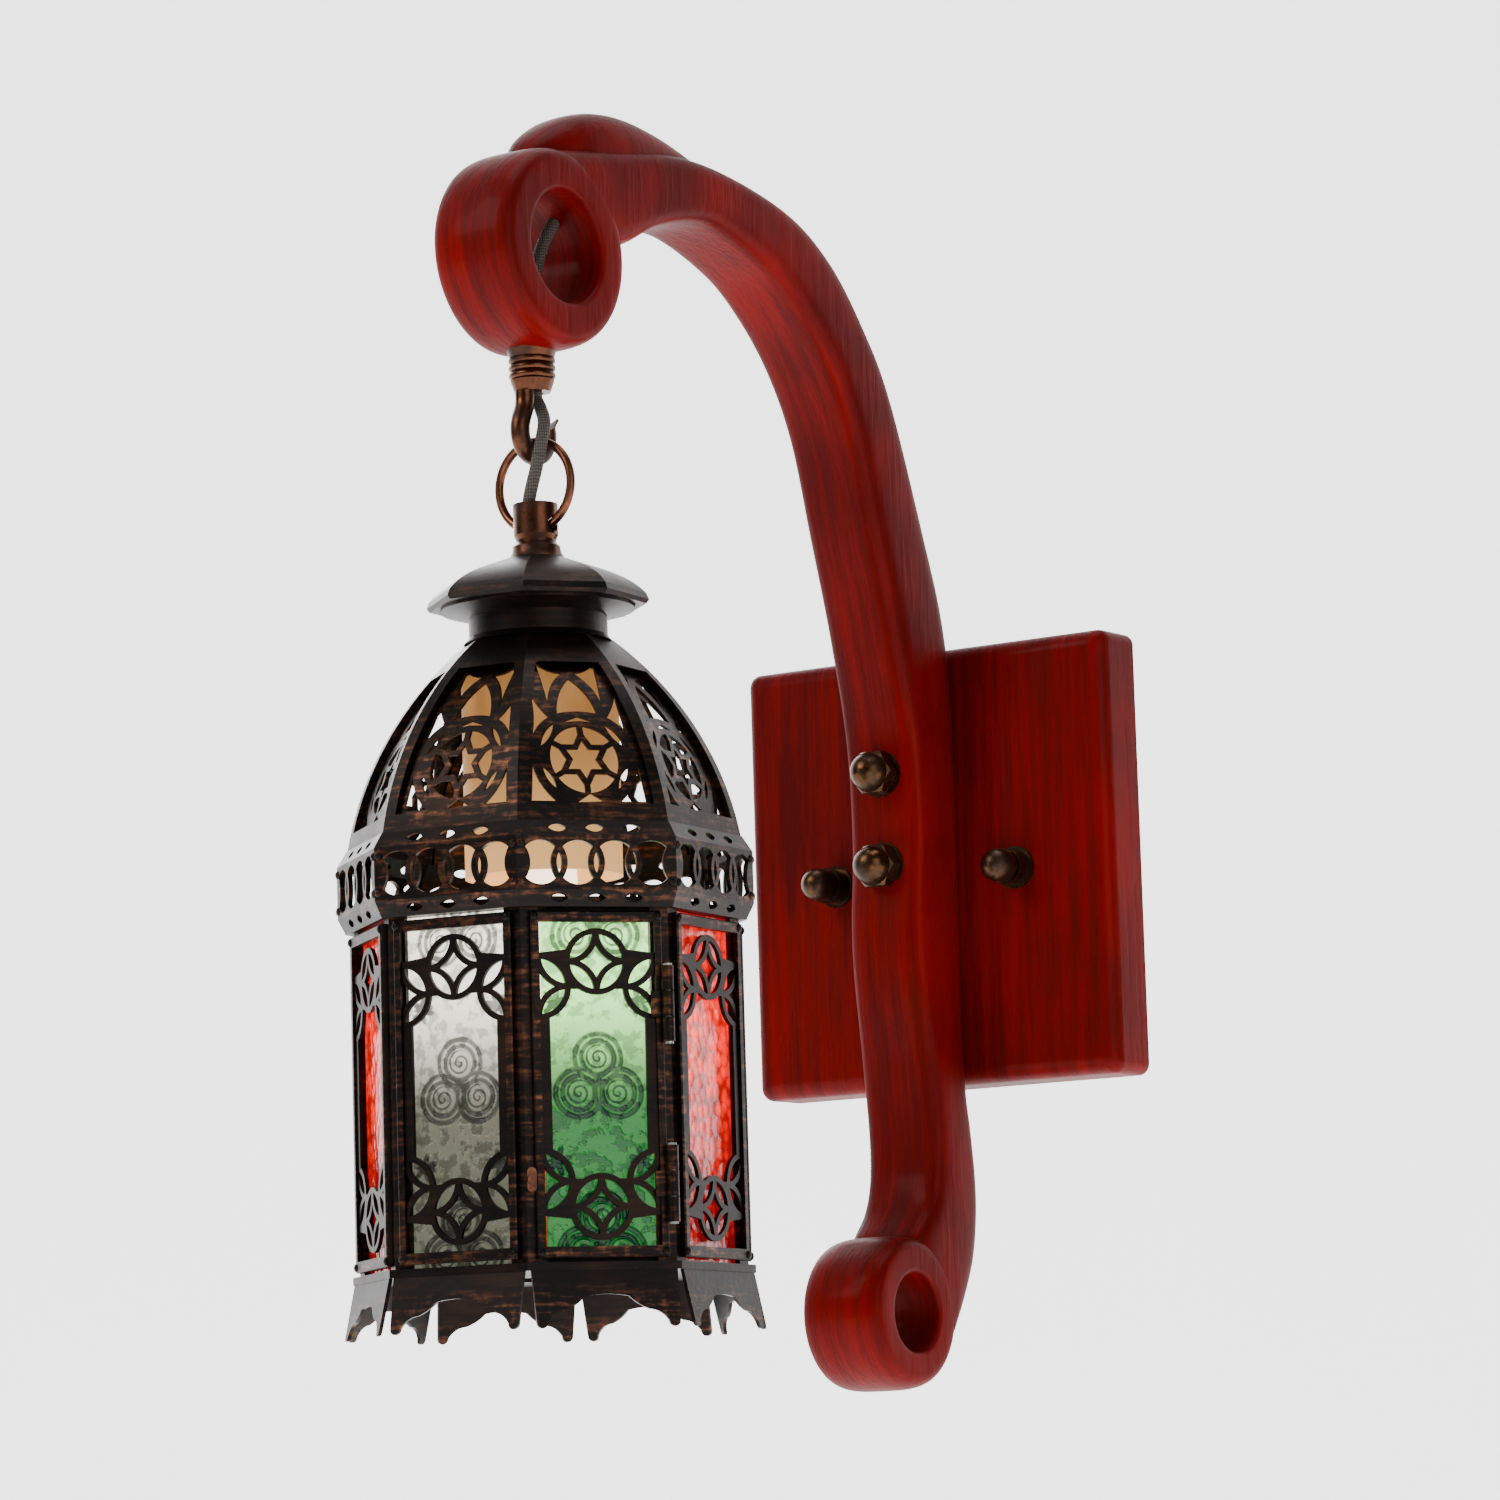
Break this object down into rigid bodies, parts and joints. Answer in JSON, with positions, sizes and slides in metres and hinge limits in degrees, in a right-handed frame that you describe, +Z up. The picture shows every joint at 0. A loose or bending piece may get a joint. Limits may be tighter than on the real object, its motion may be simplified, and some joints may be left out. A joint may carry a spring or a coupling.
{
  "type": "hanging wall lantern",
  "caption": "Carved wooden wall arm with an eye and hook, carrying an octagonal metal lantern with coloured glass sides, a pierced dome and a candle-style lamp.",
  "frame": {"origin": "centre of the wall plate's back face", "axes": "+Z up, +Y into the wall, the arm reaches along -Y, X across the plate"},
  "size_m": [0.18, 0.3676, 0.495],
  "materials": {
    "wood_lacquer": "satin dark red lacquer",
    "steel": "plain",
    "brass_nuts": "aged, dark",
    "brass_fittings": "aged",
    "copper_metal": "dark bronze with brushed copper highlights",
    "dark_metal": "dark bronze, copper where rubbed",
    "glass_clear": "embossed",
    "glass_green": "hammered",
    "glass_red": "hammered",
    "cream_plastic": "satin",
    "black_plastic": "satin",
    "cap_metal": "plain",
    "bulb_glass": "frosted white",
    "flex_sheath": "matte"
  },
  "bodies": {
    "wall_mount": {"wall_plate": "wood_lacquer", "wall_strap": "steel", "plate_studs": "steel", "plate_nuts": "brass_nuts", "washers": "brass_nuts", "arm": "wood_lacquer", "arm_bolts": "steel", "arm_nuts": "brass_nuts", "eye_nipple": "brass_fittings", "nipple_locknut": "brass_fittings", "hook": "brass_fittings", "flex_arm": "flex_sheath", "flex_hanging": "flex_sheath"},
    "ring": {"hang_ring": "copper_metal"},
    "lantern": {"flex_lantern": "flex_sheath", "finial_collar": "brass_fittings", "centre_tube": "steel", "tube_nuts": "steel", "roof": "dark_metal", "neck_drum": "dark_metal", "dome_frame": "dark_metal", "dome_panel_1": "copper_metal", "dome_panel_2": "copper_metal", "dome_panel_3": "copper_metal", "dome_panel_4": "copper_metal", "dome_panel_5": "copper_metal", "dome_panel_6": "copper_metal", "dome_panel_7": "copper_metal", "dome_panel_8": "copper_metal", "cornice": "dark_metal", "top_ring": "dark_metal", "corner_posts": "dark_metal", "grille_1": "dark_metal", "grille_2": "dark_metal", "grille_3": "dark_metal", "grille_4": "dark_metal", "grille_5": "dark_metal", "grille_6": "dark_metal", "grille_7": "dark_metal", "pane_1": "glass_red", "pane_2": "glass_clear", "pane_3": "glass_green", "pane_4": "glass_red", "pane_5": "glass_green", "pane_6": "glass_red", "pane_7": "glass_clear", "hinge_leaves_post": "dark_metal", "hinge_pins": "steel", "latch_rivet": "copper_metal", "floor_plate": "dark_metal", "skirt_plates": "dark_metal", "lampholder": "black_plastic", "candle_sleeve": "cream_plastic"},
    "door": {"door_frame": "dark_metal", "door_pane": "glass_green", "door_clips": "dark_metal", "hinge_leaves_door": "dark_metal"},
    "latch": {"latch_button": "copper_metal"},
    "bulb": {"bulb_cap": "cap_metal", "bulb_glass": "bulb_glass"}
  },
  "joints": [
    {"name": "ring_swing", "type": "hinge", "parent": "wall_mount", "child": "ring", "pos_m": [0, -0.29, 0.1382], "axis": [0, 1, 0], "range_deg": [-12, 12], "deforming": ["flex_hanging"]},
    {"name": "lantern_swing", "type": "hinge", "parent": "ring", "child": "lantern", "pos_m": [0, -0.29, 0.1093], "axis": [1, 0, 0], "range_deg": [-12, 12], "deforming": ["flex_hanging"]},
    {"name": "door_hinge", "type": "hinge", "parent": "lantern", "child": "door", "pos_m": [0.07366, -0.31375, -0.113], "axis": [0, 0, 1], "range_deg": [0, 105]},
    {"name": "latch_turn", "type": "hinge", "parent": "lantern", "child": "latch", "pos_m": [0.03967, -0.3546, -0.144], "axis": [0.7934, -0.6088, 0], "range_deg": [0, 90]},
    {"name": "bulb_turn", "type": "hinge", "parent": "lantern", "child": "bulb", "pos_m": [0, -0.29, 0.01], "axis": [0, 0, 1], "continuous": true}
  ]
}
